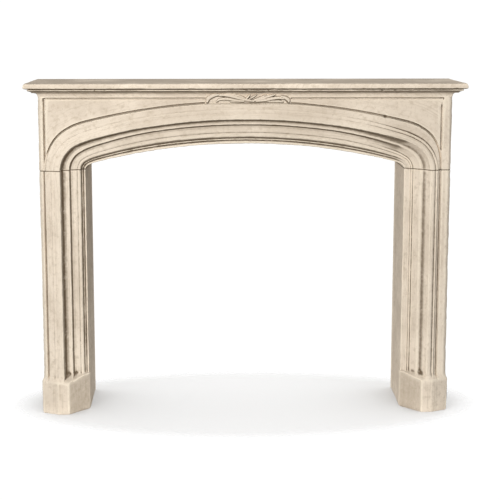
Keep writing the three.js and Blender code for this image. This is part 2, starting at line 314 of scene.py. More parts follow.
# Colours of the limestone: the clean stone, then layers over it. Each has its measure, the range
# over which it comes in, its greatest share, the measure that breaks it up with that one's range,
# and its colour.
CLEAN_STONE = (0.74, 0.64, 0.52, 1)
LAYERS = {
    "clouds": ("cloud", (0.35, 0.68), 1.0, None, (0.61, 0.517, 0.412, 1)),
    "mottling": ("mottle", (0.46, 0.72), 0.6, None, (0.48, 0.395, 0.295, 1)),
    "streaks": ("streak", (0.5, 0.72), 0.45, None, (0.42, 0.348, 0.257, 1)),
    "specks": ("speck", (0.58, 0.78), 0.5, None, (0.36, 0.295, 0.22, 1)),
    "worn_crests": ("fine", (-0.06, -0.5), 0.75, ("mottle", 0.3, 0.6), (0.82, 0.725, 0.585, 1)),
    # Upward-facing surfaces darker: partly settled dust, partly painted shade
    "settled_dust": ("up", (0.5, 0.97), 0.7, ("cloud", 0.15, 0.6), (0.37, 0.31, 0.245, 1)),
    # Broad hollows darker: partly dirt, partly painted shade
    "broad_hollow_dirt_and_shade": ("broad", (0.6, 4.0), 0.4, ("mottle", 0.15, 0.55), (0.30, 0.24, 0.17, 1)),
    # Painted shade where surfaces turn down or aside, on the splays, reveals and right hollow, with the
    # jamb joint's real dirt line
    "smoke": ("turned", (0.42, 0.85), 0.88, ("mottle", 0.1, 0.5), (0.16, 0.12, 0.078, 1)),
    # Narrow hollows darker: partly patina, partly painted shade
    "crevice_patina_and_shade": ("fine", (0.18, 0.6), 0.95, ("mottle", 0.1, 0.5), (0.11, 0.076, 0.044, 1)),
}

# Fine relief and gloss of the limestone
SPECK_RELIEF = 0.35
MOTTLE_RELIEF = 0.6
STREAK_RELIEF = 0.5
PIT_RELIEF = 0.5
PIT_RANGE = (0.66, 0.74)
BUMP_STRENGTH = 0.7
BUMP_METRES = 0.0009
ROUGHNESS = (0.74, 0.96)
SPECULAR = 0.25

# Stage, in metres: the floor fades into the white surround between two distances
FLOOR_RADIUS = 30
FLOOR_SHADE = 0.5
FLOOR_STRETCH = (1.0, 2.2, 1.0)
FLOOR_FADE = (0.78, 1.02)
SURROUND_RADIUS = 40
SURROUND_GLOW = 1.05

# Light: each lamp has its place, target and size in metres, its power, and whether it lights the
# floor alone or everything but the floor
WORLD_STRENGTH = 0.21
LAMPS = {
    "key": ((-0.9, -4.5, 1.7), (0, 0, 0.9), 1.0, 206, "EXCLUDE"),
    "overhead": ((0, 0, 5.0), (0, 0, 0), 3.5, 92, "EXCLUDE"),
    "floor_canopy": ((0, 0, 3.0), (0, 0, 0), 16.0, 1440, "INCLUDE"),
    "fill_left": ((-3.6, 2.6, 1.8), (0, 0, 0.7), 2.5, 50, "EXCLUDE"),
    "fill_right": ((3.6, 2.6, 1.8), (0, 0, 0.7), 2.5, 50, "EXCLUDE"),
}

# Camera at the photo's viewing angle, with the sideways and upward shift of its framing
CAMERA_PLACE = (-0.1379, -4.7295, 1.5663)
CAMERA_PITCH = 0.1442
CAMERA_YAW = -0.0238
SENSOR_WIDTH = 36
LENS = 86.0
SHIFT = (0.0228, -0.12)


def smoothstep(low, high, x):
    """Smooth passage from 0 at low to 1 at high. It falls where low is above high."""
    t = np.clip((x - low) / (high - low), 0, 1)
    return t * t * (3 - 2 * t)


def ease(rows):
    """Rounds off the corners along each row and keeps its ends."""
    middle = (rows[:, :-2] + 2 * rows[:, 1:-1] + rows[:, 2:]) / 4
    return np.hstack([rows[:, :1], middle, rows[:, -1:]])


def soften(rows):
    """Averages each inner row once with its neighbours, in place."""
    rows[1:-1] = (rows[:-2] + 2 * rows[1:-1] + rows[2:]) / 4


def spread(start, end, count, dense):
    """Count positions from start to end, closer together round the values in dense."""
    fine = np.linspace(0, 1, SPREAD_SAMPLES)
    place = start + (end - start) * fine
    weight = np.ones_like(fine)
    for centre, reach, gain in dense:
        weight += gain * np.exp(-(((place - centre) / reach) ** 2))
    total = np.concatenate([[0], np.cumsum((weight[1:] + weight[:-1]) / 2)])
    return np.interp(np.linspace(0, total[-1], count), total, place)


def arch_arcs():
    """The right half's arcs from the jamb to the crown: centre, radius, first and last angle."""
    haunch_x = HALF_OPENING - HAUNCH_RADIUS
    inward = HAUNCH_RADIUS - EASING_RADIUS
    easing_x = haunch_x + inward * math.cos(HAUNCH_TURN)
    easing_z = SPRINGING + inward * math.sin(HAUNCH_TURN)
    crown_start = HAUNCH_TURN + EASING_TURN
    start_x = easing_x + EASING_RADIUS * math.cos(crown_start)
    start_z = easing_z + EASING_RADIUS * math.sin(crown_start)
    crown_radius = start_x / math.cos(crown_start)
    crown_z = start_z - crown_radius * math.sin(crown_start)
    return (
        (haunch_x, SPRINGING, HAUNCH_RADIUS, 0, HAUNCH_TURN),
        (easing_x, easing_z, EASING_RADIUS, HAUNCH_TURN, crown_start),
        (0, crown_z, crown_radius, crown_start, math.pi / 2),
    )


def section_corners(side, to_crown, hood, shown):
    """Corners of the section from the arris to the face: distances and depths, one row a station."""
    left, right, crown, depth, right_depth, _ = np.array(MEMBERS, float).T
    jamb, jamb_depth = (left, depth) if side < 0 else (right, right_depth)
    width = jamb + (crown - jamb) * to_crown
    depth = jamb_depth + (depth - jamb_depth) * to_crown
    last = width[:, -1:]
    width = np.hstack([
        np.zeros_like(last),
        width,
        np.maximum(hood - GROOVE_HALF_WIDTH, last + GROOVE_CLEARANCE),
        hood,
        hood + GROOVE_HALF_WIDTH,
    ])
    depth = np.hstack([
        np.full_like(last, SPLAY_DEPTH),
        depth,
        depth[:, -1:] + GROOVE_LEAD,
        FACE_SETBACK + (GROOVE_DEPTH - FACE_SETBACK) * shown,
        np.full_like(last, FACE_SETBACK),
    ])
    return width, depth


def section_steps():
    """Steps in each stretch of the section, by its width at the crown or the groove's depth."""
    crown = [member[2] for member in MEMBERS]
    edges = [0] + crown + [HOOD_AT_CROWN - GROOVE_HALF_WIDTH]
    lengths = list(np.diff(edges)) + [GROOVE_DEPTH, GROOVE_DEPTH]
    return [max(FEWEST_STEPS, round(length / SECTION_STEP)) for length in lengths]


def moulding(side, to_crown, hood, shown):
    """Section filled in at close steps: distances from the arris and depths, one row a station.
    shown is how much of the outer groove is there."""
    columns = [np.asarray(values, float).reshape(-1, 1) for values in (to_crown, hood, shown)]
    width, depth = section_corners(side, *columns)
    swell = [member[-1] for member in MEMBERS] + [0, 0, 0]
    widths, depths = [], []
    for k, steps in enumerate(section_steps()):
        across = width[:, k + 1] - width[:, k]
        inward = depth[:, k + 1] - depth[:, k]
        length = np.hypot(across, inward)
        for i in range(steps):
            f = i / steps
            bow = swell[k] * 4 * f * (1 - f) / length
            widths.append(width[:, k] + across * f + inward * bow)
            depths.append(depth[:, k] + inward * f - across * bow)
    widths.append(width[:, -1])
    depths.append(depth[:, -1])
    return ease(np.array(widths).T), ease(np.array(depths).T)


def face_depth(x, z, side):
    """Depth of the spandrel face with its canted corners and border grooves."""
    depth = FACE_SETBACK + np.maximum(0, np.abs(x) - (HALF_BODY - CORNER_CANT))
    border = BORDER[side]
    foot, head = BORDER_SPAN[side]
    across = np.abs(np.abs(x) - border)
    upright = np.clip(1 - across / BORDER_HALF_WIDTH, 0, 1) * ((z > foot) & (z < head))
    reach = np.abs(x) < border + TOP_GROOVE_BEYOND[side]
    clear = (x < TOP_GROOVE_ENDS[0]) | (x > TOP_GROOVE_ENDS[1])
    level = np.clip(1 - np.abs(z - TOP_GROOVE) / BORDER_HALF_WIDTH, 0, 1) * reach * clear
    return depth + BORDER_DEPTH * np.maximum(upright, TOP_GROOVE_SHARE * level)


def half_stations():
    """Nominal stations of half the arch: arc number and angle, with one on the block's corner."""
    arcs = arch_arcs()
    haunch_x = arcs[0][0]
    reach = HALF_BODY - haunch_x
    first = math.atan2(LINTEL_FOOT - SPRINGING, reach)
    corner = math.atan2(BLOCK_TOP - SPRINGING, reach)
    near = [first + offset / reach for offset in JOINT_STATIONS]
    count = round((corner - near[-1]) * reach / HAUNCH_STEP)
    angles = near[:-1] + list(np.linspace(near[-1], corner, count))
    stations = [(0, angle) for angle in angles]
    count = round((HAUNCH_TURN - corner) * reach / HAUNCH_STEP) + 1
    stations += [(0, angle) for angle in np.linspace(corner, HAUNCH_TURN, count)[1:-1]]
    for k in (1, 2):
        _, _, radius, start, end = arcs[k]
        count = round((end - start) * (radius + HOOD_AT_CROWN) / STATION_STEP) + 1
        angles = np.linspace(start, end, count)
        stations += [(k, angle) for angle in (angles if k == 2 else angles[:-1])]
    return stations, first, corner


def hood_line(side, arris_z, rise, to_crown):
    """Distance of the hood line from the arris at each station, and how much of it is there."""
    at_jamb = HOOD_AT_JAMB[side]
    widened = smoothstep(SPRINGING, SPRINGING + HOOD_WIDENING_HEIGHT, arris_z)
    hood = at_jamb + (HOOD_AT_CROWN - at_jamb) * widened
    hood = np.minimum(hood, (HOOD_CEILING - arris_z) / np.maximum(rise, LEAST_RISE))
    shown = 1 - HOOD_SHALLOWING * to_crown
    if side < 0:
        shown *= smoothstep(*HOOD_FADE, arris_z + hood * rise)
    return hood, shown


def block_columns(width, edge, groove):
    """Distances from the arris of each ring's columns: section, face, outside, back and soffit."""
    face = np.array([
        spread(a, b, FACE_COLUMNS + 1, ((g, *GROOVE_FOCUS), (b, *EDGE_FOCUS)))
        for a, b, g in zip(width[:, -1], edge, groove)
    ])[:, 1:]
    edge = edge[:, None]
    return np.hstack([
        width,
        face,
        np.tile(edge, SIDE_COLUMNS),
        edge * np.linspace(1, 0, BACK_COLUMNS + 1),
        np.zeros((len(edge), SOFFIT_COLUMNS - 1)),
    ])


def block_depths(front):
    """Depths of each ring's columns, from those of its section and face."""
    last = front[:, -1:]
    to_wall = np.linspace(0, 1, SIDE_COLUMNS + 1)[1:]
    from_wall = np.linspace(0, 1, SOFFIT_COLUMNS + 1)[1:-1]
    soffit = BODY_DEPTH + (SPLAY_DEPTH - BODY_DEPTH) * from_wall
    return np.hstack([
        front,
        last + (BODY_DEPTH - last) * to_wall,
        np.full((len(front), BACK_COLUMNS + 1), BODY_DEPTH),
        np.tile(soffit, (len(front), 1)),
    ])


def half_block(side):
    """Rings of one half of the lintel from its joint to the crown, with each point's course."""
    stations, first, corner = half_stations()
    arcs = np.array(arch_arcs())
    which = np.array([k for k, _ in stations])
    angle = np.array([a for _, a in stations])
    centre_x, centre_z, radius = arcs[which, 0], arcs[which, 1], arcs[which, 2]
    rise = np.sin(angle)
    arris_z = centre_z + radius * rise
    to_crown = smoothstep(SPRINGING, SPRINGING + WIDENING_HEIGHT, arris_z)
    hood, shown = hood_line(side, arris_z, rise, to_crown)
    width, depth = moulding(side, to_crown, hood, shown)

    def reach(x, z):
        beside = (x - centre_x) / np.maximum(np.cos(angle), TINY)
        above = (z - centre_z) / np.maximum(rise, LEAST_RISE)
        return np.minimum(beside, above) - radius

    edge, groove = reach(HALF_BODY, BLOCK_TOP), reach(BORDER[side], TOP_GROOVE)
    ray = radius[:, None] + block_columns(width, edge, groove)
    lowest = np.arcsin(np.clip((LINTEL_FOOT - SPRINGING) / ray, -1, 1))
    share = ((angle - first) / (corner - first))[:, None]
    bent = lowest + share * (corner - lowest)
    turn = np.where((which[:, None] == 0) & (share < 1), bent, angle[:, None])
    x = centre_x[:, None] + ray * np.cos(turn)
    x = np.where(np.abs(x) < TINY, 0, x)
    z = np.maximum(centre_z[:, None] + ray * np.sin(turn), LINTEL_FOOT)
    face_part = slice(width.shape[1], width.shape[1] + FACE_COLUMNS)
    face = face_depth(side * x[:, face_part], z[:, face_part], side)
    depth = block_depths(np.hstack([depth, face]))
    points = np.stack([side * x, CREST + depth, z], -1)
    step = np.linalg.norm(np.diff(points[:, width.shape[1] // 2], axis=0), axis=1)
    along = side * (np.concatenate([[0], np.cumsum(step)]) - step.sum())
    return points, np.tile(along[:, None], points.shape[1])


def lintel_block():
    """Rings of the whole lintel from the right joint over the crown to the left one."""
    right, right_along = half_block(1)
    left, left_along = half_block(-1)
    rings = np.concatenate([right, left[-2::-1]])
    along = np.concatenate([right_along, left_along[-2::-1]])
    return rings, along


def grid_normals(points, closed):
    """Unit normals of a grid of points, whose columns may close into rings."""
    if closed:
        down = np.roll(points, -1, 1) - np.roll(points, 1, 1)
    else:
        down = np.gradient(points, axis=1)
    along = np.gradient(points, axis=0)
    normals = np.cross(down, along)
    normals /= np.maximum(np.linalg.norm(normals, axis=-1, keepdims=True), NO_LENGTH)
    foremost = np.unravel_index(np.argmin(points[..., 1]), points.shape[:2])
    return normals if normals[foremost][1] < 0 else -normals


def cavity(points, normals, closed, times):
    """How far each point lies below its smoothed surroundings, negative on crests."""
    own, round_it, along_it = SMOOTHING_SHARES
    smooth = points.copy()
    for _ in range(times):
        if closed:
            sides = (np.roll(smooth, -1, 1) + np.roll(smooth, 1, 1)) / 2
        else:
            padded = np.concatenate([smooth[:, :1], smooth, smooth[:, -1:]], 1)
            sides = (padded[:, 2:] + padded[:, :-2]) / 2
        padded = np.concatenate([smooth[:1], smooth, smooth[-1:]], 0)
        ends = (padded[2:] + padded[:-2]) / 2
        smooth = own * smooth + round_it * sides + along_it * ends
    return ((smooth - points) * normals).sum(-1)


def field(points, length, octaves=2):
    """Smooth noise between about -1 and 1 with features of the given length."""
    flat = (points / length).reshape(-1, 3).tolist()
    values = [noise.fractal(p, FRACTAL_SMOOTHNESS, FRACTAL_LACUNARITY, octaves) for p in flat]
    return np.array(values).reshape(points.shape[:-1])


def unevenness(points):
    """How far the worn surface stands out at each point: waves, ripples and grain."""
    wave = WAVE * field(points, WAVE_LENGTH)
    wave += RIPPLE * field(points + RIPPLE_PART, RIPPLE_LENGTH)
    wave += GRAIN * field(points + GRAIN_PART, GRAIN_LENGTH, 1)
    return wave


def off_wall(points):
    """0 on the wall plane and 1 a little in front of it, so that the wall face stays flat."""
    return smoothstep(*WALL_FADE, WALL - points[..., 1])


def chip(points, normals, crest, count, rng):
    """Small conchoidal losses on the crests."""
    flat, out = points.reshape(-1, 3), normals.reshape(-1, 3)
    likely = np.flatnonzero((crest.ravel() > CHIP_CREST) & (flat[:, 1] < WALL - CHIP_FROM_WALL))
    if not len(likely):
        return
    for k in rng.choice(likely, count):
        radius = rng.uniform(*CHIP_RADIUS)
        distance = np.linalg.norm(flat - flat[k], axis=1)
        inside = distance < radius
        flat[inside] -= out[inside] * ((radius - distance[inside]) * CHIP_SINK)[:, None]


def nick(points, normals, places):
    """Losses at known places of the front, each with its x, z and radius."""
    on_front = (normals[..., 1] < NICK_FACING) & (points[..., 1] < CREST + SPLAY_DEPTH)
    for x, z, radius in places:
        distance = np.hypot(points[..., 0] - x, points[..., 2] - z)
        inside = (distance < radius) & on_front
        points[inside] -= normals[inside] * ((radius - distance[inside]) * NICK_SINK)[:, None]


def weather(points, closed, chips, nicks=()):
    """Moves a surface as wear has: slow waves, softened crests, grain and small losses.
    chips are the number and the seed of its chips."""
    count, seed = chips
    normals = grid_normals(points, closed)
    crest = np.clip(-cavity(points, normals, closed, CREST_SMOOTHING) / CREST_HEIGHT, 0, 1)
    patches = np.maximum(0, field(points + LOSS_PART, LOSS_LENGTH) + LOSS_BIAS)
    outward = (unevenness(points) - CREST_LOSS * crest * patches) * off_wall(points)
    moved = points + normals * outward[..., None]
    chip(moved, normals, crest, count, np.random.default_rng(CHIP_SEED + seed))
    nick(moved, normals, nicks)
    return moved


def ease_level(points, normals, level, reach, amount):
    """Draws the surface in beside a level arris, as a worn joint or foot."""
    near = 1 - smoothstep(0, reach, np.abs(points[..., 2] - level))
    uneven = 1 + UNEVEN * field(points + UNEVEN_PART, UNEVEN_LENGTH)
    flat = normals * np.array([1, 1, 0])
    return points - flat * (near * off_wall(points) * amount * uneven)[..., None]


def front_painted_shade(points, normals, inward):
    """Painted shade of the carved front: undersides, sides, plinth splays and the right jamb's hollow.
    """
    x, z, depth = points[..., 0], points[..., 2], points[..., 1] - CREST
    # Painted shade: darker on surfaces facing right, on the right jamb also on those facing left, and on
    # those facing down
    sideways = np.maximum(RIGHT_FACING * normals[..., 0], LEFT_FACING * inward * (x > 0))
    sideways *= smoothstep(HALF_BODY - CORNER_CANT, HALF_BODY - 2 * CORNER_CANT, np.abs(x))
    turned = np.clip(sideways - normals[..., 2], 0, 1)
    on_plinth = smoothstep(SPLAY_HEAD + SPLAY_FADE, SPLAY_HEAD - SPLAY_FADE, z)
    splay = SPLAY_SHADE * smoothstep(*SPLAY_TURN, inward) * on_plinth
    hollow = HOLLOW_SHADE * smoothstep(*HOLLOW_BAND[0], x) * smoothstep(*HOLLOW_BAND[1], x)
    hollow *= smoothstep(JAMB_TOP, JAMB_TOP - HOLLOW_SHADE_FADE, z) * (1 - on_plinth)
    turned = np.maximum(turned, np.maximum(splay, hollow))
    on_return = np.abs(x) > HALF_BODY + ON_PLANE
    turned *= np.where(on_return, 1, smoothstep(SPLAY_DEPTH + SOFFIT_FADE, SPLAY_DEPTH, depth))
    # Less painted shade round the right haunch
    from_haunch = np.hypot(x - LESS_SHADED_HAUNCH[0], z - LESS_SHADED_HAUNCH[1])
    return turned * (1 - LESS_SHADED_SHARE * smoothstep(*LESS_SHADED_REACH, from_haunch))


def turned_in(points, normals):
    """How far a surface turns down or to the side, where shade is painted, or lies in a joint, where
    dirt has stayed.
    """
    x, z, depth = points[..., 0], points[..., 2], points[..., 1] - CREST
    inward = -normals[..., 0] * np.sign(x)
    turned = front_painted_shade(points, normals, inward)
    # Painted shade on the reveals
    reveal = np.where(x < 0, REVEAL_SHADE[-1], REVEAL_SHADE[1]) * smoothstep(*REVEAL_TURN, inward)
    reveal *= smoothstep(SPLAY_DEPTH, SPLAY_DEPTH + REVEAL_FADE, depth)
    joint = 1 - smoothstep(*JOINT_BAND, np.abs(z - JAMB_TOP))
    return np.maximum(np.maximum(turned, reveal), joint)


def values_of(points, carved, closed, along):
    """What the material needs at each point: hollow, crest and painted shade measures and the course.
    carved is the same grid before its wear, which the dark lines in the hollows mostly follow."""
    normals = grid_normals(carved, closed)
    worn_normals = grid_normals(points, closed)
    fine = (1 - WORN_SHARE) * cavity(carved, normals, closed, FINE_SMOOTHING)
    fine += WORN_SHARE * cavity(points, worn_normals, closed, FINE_SMOOTHING)
    broad = cavity(points, worn_normals, closed, BROAD_SMOOTHING)
    step = np.linalg.norm(np.diff(points, axis=1), axis=-1)
    across = np.concatenate([np.zeros((len(points), 1)), np.cumsum(step, 1)], 1)
    course = np.stack([across, along, np.zeros_like(along)], -1) * MM
    return {"fine": fine, "broad": broad, "turned": turned_in(points, normals), "course": course}


def grid_faces(rows, columns, closed):
    """Faces between the rows of a grid, and across its seam if it is closed."""
    last = columns if closed else columns - 1
    i, j = np.meshgrid(np.arange(rows - 1), np.arange(last), indexing="ij")
    a = i * columns + j
    b = i * columns + (j + 1) % columns
    return np.stack([a, b, b + columns, a + columns], -1).reshape(-1, 4).tolist()


def capped_faces(rows, columns, closed):
    """Faces of a grid with one flat face over its first row and one over its last."""
    faces = grid_faces(rows, columns, closed)
    faces.append(list(range(columns)))
    faces.append([(rows - 1) * columns + j for j in range(columns)][::-1])
    return faces


def tube_shell(rings, carved, along):
    """A closed shell from rings, with a flat face over each end."""
    faces = capped_faces(*rings.shape[:2], True)
    return rings, faces, values_of(rings, carved, True, along)


def returned_shell(courses, carved, along):
    """A closed shell from courses that return to the wall at both ends."""
    rows, columns = courses.shape[:2]
    faces = capped_faces(rows, columns, False)
    left = [i * columns for i in range(rows)]
    right = [i * columns + columns - 1 for i in range(rows)]
    faces.append(left[::-1] + right)
    return courses, faces, values_of(courses, carved, False, along)


def shaft_plan(side):
    """Plan of the shaft as distances in from the outer edge and depths."""
    width, depth = moulding(side, [0], [SHAFT_GROOVE[side]], [1])
    inner_u, inner_d = JAMB_WIDTH - width[0, ::-1], depth[0, ::-1]
    cant_back = FACE_SETBACK + CORNER_CANT
    side_d = np.linspace(BODY_DEPTH, cant_back, SIDE_COLUMNS + 1)[:-1]
    cant = CORNER_CANT * np.linspace(0, 1, NARROW_POINTS)[:-1]
    strip = np.linspace(CORNER_CANT, inner_u[0], NARROW_POINTS)[:-1]
    reveal_d = np.linspace(SPLAY_DEPTH, BODY_DEPTH, SOFFIT_COLUMNS + 1)[1:]
    back_u = np.linspace(JAMB_WIDTH, 0, BACK_COLUMNS + 1)[1:-1]
    across = np.concatenate([
        np.zeros_like(side_d), cant, strip, inner_u, np.full_like(reveal_d, JAMB_WIDTH), back_u,
    ])
    depths = np.concatenate([
        side_d, cant_back - cant, np.full_like(strip, FACE_SETBACK), inner_d, reveal_d,
        np.full_like(back_u, BODY_DEPTH),
    ])
    return np.stack([across, depths], -1)


def plinth_plan(shaft):
    """Plan of the plinth, with one point for each of the shaft's."""
    shaft_u, shaft_d = shaft.T
    outline_u, outline_d = np.array(PLINTH_OUTLINE, float).T
    low, high, reveal_front = outline_u[0], outline_u[-1], outline_d[-1]
    across = low + shaft_u * (high - low) / JAMB_WIDTH
    depths = np.interp(across, outline_u, outline_d)
    on_side = shaft_u == 0
    depths[on_side] = shaft_d[on_side]
    on_reveal = (shaft_u == JAMB_WIDTH) & (shaft_d > SPLAY_DEPTH - ON_PLANE)
    reveal = BODY_DEPTH - reveal_front
    stretch = reveal / (BODY_DEPTH - SPLAY_DEPTH)
    depths[on_reveal] = BODY_DEPTH - (BODY_DEPTH - shaft_d[on_reveal]) * stretch
    across[on_reveal] -= (high - JAMB_WIDTH) * (depths[on_reveal] - reveal_front) / reveal
    depths[1 - BACK_COLUMNS:] = BODY_DEPTH
    return np.stack([across, depths], -1)


def weathering(shaft, plinth):
    """Levels of the plinth's shoulder and of the head of its weathering, at each point of the plan."""
    tangent = np.roll(plinth, -1, 0) - np.roll(plinth, 1, 0)
    tangent /= np.maximum(np.linalg.norm(tangent, axis=1, keepdims=True), NO_LENGTH)
    drawn_in = shaft - plinth
    inset = np.abs(drawn_in[:, 0] * tangent[:, 1] - drawn_in[:, 1] * tangent[:, 0])
    steady, sloped = WEATHERING_RISE
    front_end, splay_end = PLINTH_OUTLINE[-2][0], PLINTH_OUTLINE[-1][0]
    shoulder = PLINTH_HEIGHT + SPLAY_LIFT * smoothstep(front_end, splay_end, plinth[:, 0])
    head = PLINTH_HEIGHT + steady + sloped * np.clip(inset / WEATHERING_REACH, 0, 1)
    head[plinth[:, 1] > BODY_DEPTH - ON_PLANE] = PLINTH_HEIGHT + steady
    return np.minimum(shoulder, head - LEAST_WEATHERING), head


def jamb_grid(side):
    """Rows of points up a jamb as it was carved. Each is level or follows the weathering, and has
    a share of the shaft's plan and the rest of the plinth's."""
    shaft = shaft_plan(side)
    plinth = plinth_plan(shaft)
    shoulder, head = weathering(shaft, plinth)
    low = np.concatenate([FOOT_ROWS, np.arange(FIRST_PLINTH_ROW, PLINTH_HEIGHT, PLINTH_STEP)])
    rows = [(shoulder * f, 0) for f in low / PLINTH_HEIGHT]
    for f in np.linspace(0, 1, WEATHERING_ROWS):
        rows.append((shoulder + f * (head - shoulder), math.sin(f * math.pi / 2)))
    count = round((JAMB_TOP - PLINTH_HEIGHT) / SHAFT_STEP)
    for f in np.linspace(0, 1, count)[1:-1]:
        rows.append((head + f * (JAMB_TOP - JOINT_ROWS[0] - head), 1))
    rows += [(np.full(len(head), JAMB_TOP - drop), 1) for drop in JOINT_ROWS]
    level = np.array([row_level for row_level, _ in rows])
    share = np.array([row_share for _, row_share in rows])[:, None, None]
    plan = plinth * (1 - share) + shaft * share
    points = np.stack([side * (HALF_BODY - plan[..., 0]), CREST + plan[..., 1], level], -1)
    for _ in range(JAMB_SOFTENING):
        soften(points)
    return points


def jamb_shell(side):
    """One jamb with its plinth, worn at the foot and at the joint."""
    carved = jamb_grid(side)
    worn = weather(carved, True, JAMB_CHIPS[side])
    normals = grid_normals(worn, True)
    worn = ease_level(worn, normals, 0, *FOOT_EASE)
    worn = ease_level(worn, normals, JAMB_TOP, *JOINT_EASE)
    worn[0, :, 2] = 0
    worn[-1, :, 2] = JAMB_TOP
    return tube_shell(worn, carved, worn[..., 2].copy())


def lintel_shell():
    """The arched block of the lintel, worn at both joints."""
    carved, along = lintel_block()
    worn = weather(carved, True, LINTEL_CHIPS, LINTEL_NICKS)
    worn = ease_level(worn, grid_normals(worn, True), LINTEL_FOOT, *JOINT_EASE)
    worn[0, :, 2] = LINTEL_FOOT
    worn[-1, :, 2] = LINTEL_FOOT
    return tube_shell(worn, carved, along)


def returned_plan(x, y):
    """Plan of one course from the wall round the left end, the front at y and the right end at x."""
    leg = np.linspace(0, 1, round(BODY_DEPTH / RETURN_STEP) + 1)
    span = np.linspace(-1, 1, round(2 * HALF_BODY / RETURN_STEP) + 1)
    turn = np.linspace(0, math.pi / 2, NARROW_POINTS)[1:-1]
    end_y = WALL + (y + CORNER_EASE - WALL) * leg
    end = np.stack([np.full_like(end_y, -x), end_y], -1)
    corner = np.stack([
        -x + CORNER_EASE - CORNER_EASE * np.cos(turn), y + CORNER_EASE - CORNER_EASE * np.sin(turn),
    ], -1)
    front_x = (x - CORNER_EASE) * span
    front = np.stack([front_x, np.full_like(front_x, y)], -1)
    mirror = np.array([-1, 1])
    return np.concatenate([end, corner, front, (corner * mirror)[::-1], (end * mirror)[::-1]])


def returned_rows(section, under, over):
    """Rows of points for a section of projections and levels that returns to the wall at both ends.
    under and over are the insets of further rows at its first and at its last level."""
    courses = [(*section[0], inset) for inset in under[::-1]]
    first = len(courses)
    courses += [(projection, level, 0) for projection, level in section]
    courses += [(*section[-1], inset) for inset in over]
    rows = []
    for projection, level, inset in courses:
        front = FACE - projection * FRONT_STRETCH + inset
        plan = returned_plan(HALF_BODY + projection - inset, front)
        rows.append(np.column_stack([plan, np.full(len(plan), level)]))
    points = np.array(rows)
    step = np.linalg.norm(np.diff(points[first], axis=0), axis=1)
    along = np.concatenate([[0], np.cumsum(step)]) - step.sum() / 2
    return points, np.tile(along, (len(points), 1))


def fill_section(section, step):
    """More points along a section of projections and levels, its corners a little eased."""
    filled = []
    for (p0, z0), (p1, z1) in zip(section[:-1], section[1:]):
        count = max(1, round(math.hypot(p1 - p0, z1 - z0) / step))
        for i in range(count):
            filled.append((p0 + (p1 - p0) * i / count, z0 + (z1 - z0) * i / count))
    filled.append(section[-1])
    return ease(np.array(filled).T).T.tolist()


def shelf_shell():
    """The slab with its bed mould and rounded nose."""
    section = [(projection, SHELF_FOOT + height) for projection, height in SHELF_BED]
    nose_foot = SHELF_FOOT + NOSE_START
    nose_height = SHELF_TOP - nose_foot
    for turn in np.linspace(0, math.pi / 2, QUARTER_POINTS):
        projection = SHELF_PROJECTION - NOSE_DROP * (1 - math.cos(turn))
        section.append((projection, nose_foot + nose_height * math.sin(turn)))
    section = fill_section(section, SHELF_STEP)
    carved, along = returned_rows(section, SHELF_UNDER, SHELF_OVER)
    worn = weather(carved, False, SHELF_CHIPS, SHELF_NICKS)
    return returned_shell(worn, carved, along)


def fascia_shell():
    """The cove at the head of the lintel, with little painted shade."""
    section = [(FASCIA_TUCK[0], FASCIA_FOOT + FASCIA_TUCK[1])]
    for turn in np.linspace(0, math.pi / 2, QUARTER_POINTS):
        projection = FASCIA_PROJECTION * (1 - math.cos(turn))
        section.append((projection, FASCIA_FOOT + FASCIA_HEIGHT * math.sin(turn)))
    section = fill_section(section, FASCIA_STEP)
    carved, along = returned_rows(section, FASCIA_UNDER, FASCIA_OVER)
    worn = weather(carved, False, FASCIA_CHIPS)
    courses, faces, values = returned_shell(worn, carved, along)
    # Little of the painted shade is kept on the fascia
    values["turned"] = values["turned"] * FASCIA_SHADE_SHARE
    return courses, faces, values


def stroke_line(points):
    """Smooth line through the points."""
    points = np.array(points, float)
    padded = np.vstack([2 * points[0] - points[1], points, 2 * points[-1] - points[-2]])
    line = []
    for k in range(len(points) - 1):
        a, b, c, d = padded[k:k + 4]
        for t in np.linspace(0, 1, STROKE_POINTS, endpoint=False):
            line.append(0.5 * (
                2 * b + (c - a) * t + (2 * a - 5 * b + 4 * c - d) * t**2 + (3 * b - a - 3 * c + d) * t**3
            ))
    return np.array(line)


def ornament_relief(x, z):
    """Height of the ornament over the face: domed strokes that taper to their tips, on a sunk field."""
    relief = np.full(x.shape, SUNK)
    start, span = TAPER
    for points, half_width, height in ORNAMENT_STROKES:
        line = stroke_line(points)
        share = np.linspace(0, 1, len(line))
        taper = TIP_WIDTH + (1 - TIP_WIDTH) * np.sin(math.pi * (start + span * share))
        swell = half_width * taper
        distance = np.hypot(x[..., None] - line[:, 0], z[..., None] - line[:, 1]) / swell
        nearest = distance.min(-1)
        dome = np.sqrt(np.clip(1 - nearest**2, 0, 1))
        stroke = RELIEF * height * (EDGE_RELIEF + (1 - EDGE_RELIEF) * dome)
        relief = np.maximum(relief, np.where(nearest < 1, stroke, SUNK))
    return np.where(z < ORNAMENT_FOOT, SUNK, relief)


def ornament_shell():
    """The carved ornament as a closed slip, rooted in the face of the lintel."""
    xs = np.arange(*ORNAMENT_X, ORNAMENT_STEP)
    zs = np.arange(*ORNAMENT_Z, ORNAMENT_STEP)
    x, z = np.meshgrid(xs, zs, indexing="ij")
    relief = ornament_relief(x, z)
    soften(relief)
    soften(relief.T)
    base = np.stack([x, np.full_like(x, FACE), z], -1)
    out = np.array([0, -1, 0])
    front = base + out * (unevenness(base) + relief)[..., None]
    root = np.full((len(xs), 2), FACE + ORNAMENT_ROOT)
    inside = np.stack([x[:, [-1, 0]], root, z[:, [-1, 0]]], -1)
    rings = np.concatenate([front, inside], 1)
    return tube_shell(rings, rings, np.tile(xs[:, None], rings.shape[1]))


